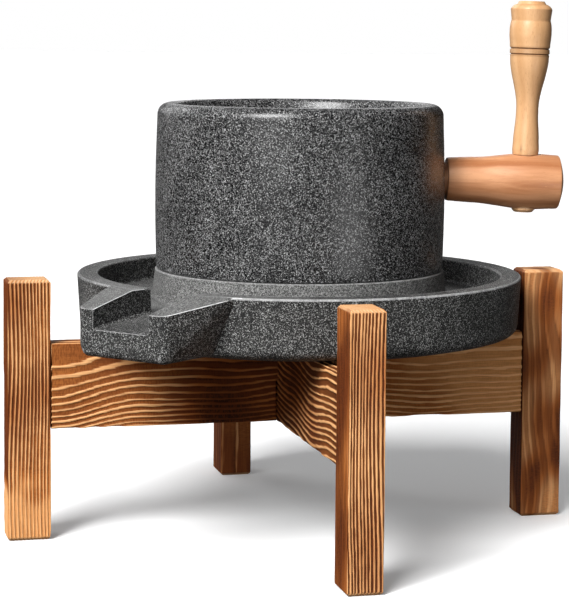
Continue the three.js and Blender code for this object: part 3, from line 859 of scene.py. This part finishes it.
arm_profile = [
    (0, RUNNER_BELLY - SOCKET_DEPTH + 1), (ARM_SPIGOT, RUNNER_BELLY - SOCKET_DEPTH + 1),
    (ARM_SPIGOT, ARM_SHOULDER), (ARM_NECK - 0.8, ARM_SHOULDER),
    (ARM_NECK - 0.25, ARM_SHOULDER + 0.25), (ARM_NECK, ARM_SHOULDER + 0.8),
    (ARM_NECK + 0.3, 133), (ARM_NECK + 0.6, 138), (ARM_NECK + 0.9, 144),
    *eased_run((ARM_NECK + 1.2, SWELL_START), (ARM_BELLY, SWELL_END), 20),
    *eased_run((ARM_BELLY, 205), (ARM_END + 0.2, ARM_END_REACH - 3), 8),
    *arc(ARM_END - 1.2, ARM_END_REACH - 0.6, 1.2, 10, 60, 3),
]
arm_profile += [
    (ARM_END * share, ARM_END_REACH + ARM_DOME * (1 - share**2)) for share in DOME_SHARES
]
arm_profile.append((0, ARM_END_REACH + ARM_DOME))
arm_flecks = [(170, 207, 2.2, 3.2), (95, 221, 2.4, 3.0)]
arm = turned_beech("turned_beech_arm", arm_profile, 112, along_arm, arm_flecks, "handle_arm")
on_grip_axis = on_arm_axis @ Matrix.Translation((GRIP_REACH * MM, 0, 0))
combine(arm, moved(rod(TENON_RADIUS + TENON_GAP, -40, 40, 64), on_grip_axis))
combine(arm, moved(rod(SEAT_RADIUS, GRIP_FOOT - 1.5, GRIP_FOOT + 6, 64), on_grip_axis))

grooves = []
for height in RING_GROOVES:
    grooves += [(17.3, height - 0.9), (16.3, height), (17.4, height + 0.9)]
grip_profile = [
    (0, -ARM_BELLY - 2.4), (TENON_RADIUS - 2, -ARM_BELLY - 2.4), (TENON_RADIUS, -ARM_BELLY - 0.4),
    (TENON_RADIUS, GRIP_FOOT - 1.2),
    *outline((11.2, GRIP_FOOT - 1.2), (11.7, GRIP_FOOT + 3, 2), (11.4, GRIP_FOOT + 8)),
    *eased_run((11.3, GRIP_FOOT + 10), (9.8, GRIP_FOOT + 34), 14),
    *eased_run((9.8, GRIP_FOOT + 40), (17.0, GRIP_TOP - 48.5), 26),
    *grooves,
    *eased_run((17.6, GRIP_TOP - 39), (GRIP_RADIUS, GRIP_TOP - 29), 6),
    *arc(GRIP_RADIUS - GRIP_CROWN, GRIP_TOP - 26, GRIP_CROWN, 1, 16, 6),
    *arc(11.2, GRIP_TOP - 10.0, 7.4, 20, 86, 9)[:-1], (11.0, GRIP_TOP - 0.2), (0, GRIP_TOP),
]
grip = turned_beech(
    "turned_beech_grip", grip_profile, 96, on_grip_axis,
    [(None, RING_GROOVES[0], 0, 0.9), (None, RING_GROOVES[1], 0, 0.9), (240, 30, 1.4, 2.6)],
    "handle_grip",
)
arm_beech = oiled_beech(
    "oiled_beech_arm", (0.70, 0.345, 0.172, 1), (0.40, 0.145, 0.052, 1), (0.74, 0.40, 0.215, 1)
)
grip_beech = oiled_beech(
    "oiled_beech_grip", (0.77, 0.455, 0.225, 1), (0.62, 0.325, 0.14, 1), (0.83, 0.52, 0.29, 1)
)
for turning_piece, wood in ((arm, arm_beech), (grip, grip_beech)):
    turning_piece.data.materials.append(wood)
    shade_by_angle(turning_piece, 36)


# ---- The studio ----------------------------------------------------------------------------------
# A wide pale floor under a pale surround. A broad key light comes from the front left and above,
# with two weak fills; four soft boxes draw the stones' highlights and light the rails from the front.
# Floor and surround are white to the camera and dim to other rays, so that the stones stay dark.

floor = bmesh.new()
bmesh.ops.create_circle(floor, cap_ends=True, segments=96, radius=30.0)
floor = new_piece("floor", floor, None, None)
look = Shading("pale_floor")
grit = look.noise(look.place(), 400, 2.0, 0.5)
white = look.blend(look.math("MULTIPLY", grit, 0.1), (0.97, 0.97, 0.97, 1), (0.94, 0.94, 0.94, 1))
direct = look.node("ShaderNodeLightPath").outputs["Is Camera Ray"]
look.finish(look.blend(direct, (0.065, 0.063, 0.06, 1), white), 0.7, Specular_IOR_Level=0.1)
look.shader.inputs["Emission Color"].default_value = (1, 1, 1, 1)
look.wire(look.math("MULTIPLY", direct, 0.14), look.shader.inputs["Emission Strength"])
floor.data.materials.append(look.material)

world = bpy.data.worlds.new("pale_surround")
bpy.context.scene.world = world
world.use_nodes = True
surround = world.node_tree
fill = surround.nodes["Background"]
fill.inputs["Color"].default_value = (0.93, 0.95, 1, 1)
towards = surround.nodes.new("ShaderNodeTexCoord")
lean = surround.nodes.new("ShaderNodeVectorMath")
lean.operation = "DOT_PRODUCT"
lean.inputs[1].default_value = (-0.9, -0.3, 0.3)
surround.links.new(towards.outputs["Generated"], lean.inputs[0])
brightness = surround.nodes.new("ShaderNodeMapRange")
for label, value in (("From Min", -0.6), ("From Max", 0.9), ("To Min", 0.01), ("To Max", 0.18)):
    brightness.inputs[label].default_value = value
surround.links.new(lean.outputs["Value"], brightness.inputs["Value"])
surround.links.new(brightness.outputs["Result"], fill.inputs["Strength"])
backdrop = surround.nodes.new("ShaderNodeBackground")
backdrop.inputs["Color"].default_value = (1, 1, 1, 1)
backdrop.inputs["Strength"].default_value = 1.0
chooser = surround.nodes.new("ShaderNodeMixShader")
rays = surround.nodes.new("ShaderNodeLightPath")
surround.links.new(rays.outputs["Is Camera Ray"], chooser.inputs[0])
surround.links.new(fill.outputs[0], chooser.inputs[1])
surround.links.new(backdrop.outputs[0], chooser.inputs[2])
surround.links.new(chooser.outputs[0], surround.nodes["World Output"].inputs["Surface"])
bpy.context.scene.view_settings.view_transform = "Standard"


def lamp(name, kind, energy, place, size, aim=(0, 0, 0.25)):
    """A sun, whose size is its angle, or a soft box, whose size is its width and height."""
    light = bpy.data.lights.new(name, kind)
    light.energy = energy
    if kind == "SUN":
        light.angle = math.radians(size)
    else:
        light.shape, light.size, light.size_y = "RECTANGLE", *size
    holder = bpy.data.objects.new(name, light)
    holder.location = place
    holder.rotation_euler = (Vector(aim) - Vector(place)).to_track_quat("-Z", "Y").to_euler()
    holder.visible_camera = False
    bpy.context.scene.collection.objects.link(holder)


lamp("key", "SUN", 3.9, place=(-1.58, -1.58, 2.26), size=30)
lamp("low_front", "SUN", 0.5, place=(-1.3, -1.8, 0.42), size=30)
lamp("back_fill", "SUN", 0.6, place=(-1.0, 1.6, 1.1), size=40)
lamp("shoulder_box", "AREA", 17.0, place=(-1.08, -1.155, 1.7), size=(0.22, 1.7))
lamp("right_box", "AREA", 1.6, place=(1.5, -0.95, 1.75), size=(0.3, 0.6))
lamp("rim_strip", "AREA", 5.0, place=(0.6, 2.43, 1.25), size=(1.2, 0.55))
lamp("rail_lamp", "AREA", 1.15, place=(0.45, -1.0, 0.14), size=(0.5, 0.2), aim=(0.16, 0, 0.15))

CAMERA_PLACE = (-0.4541, -1.8174, 0.4387)
CAMERA_TURN, CAMERA_TILT, CAMERA_ROLL = -13.87, -5, 0.48
camera = bpy.data.objects.new("camera", bpy.data.cameras.new("camera"))
bpy.context.scene.collection.objects.link(camera)
bpy.context.scene.camera = camera
camera.data.lens = 129.8
camera.data.shift_y = -0.1465
camera.data.clip_end = 100
camera.matrix_world = (
    Matrix.Translation(CAMERA_PLACE)
    @ Matrix.Rotation(math.radians(CAMERA_TURN), 4, "Z")
    @ Matrix.Rotation(math.radians(90 + CAMERA_TILT), 4, "X")
    @ Matrix.Rotation(math.radians(CAMERA_ROLL), 4, "Z")
)
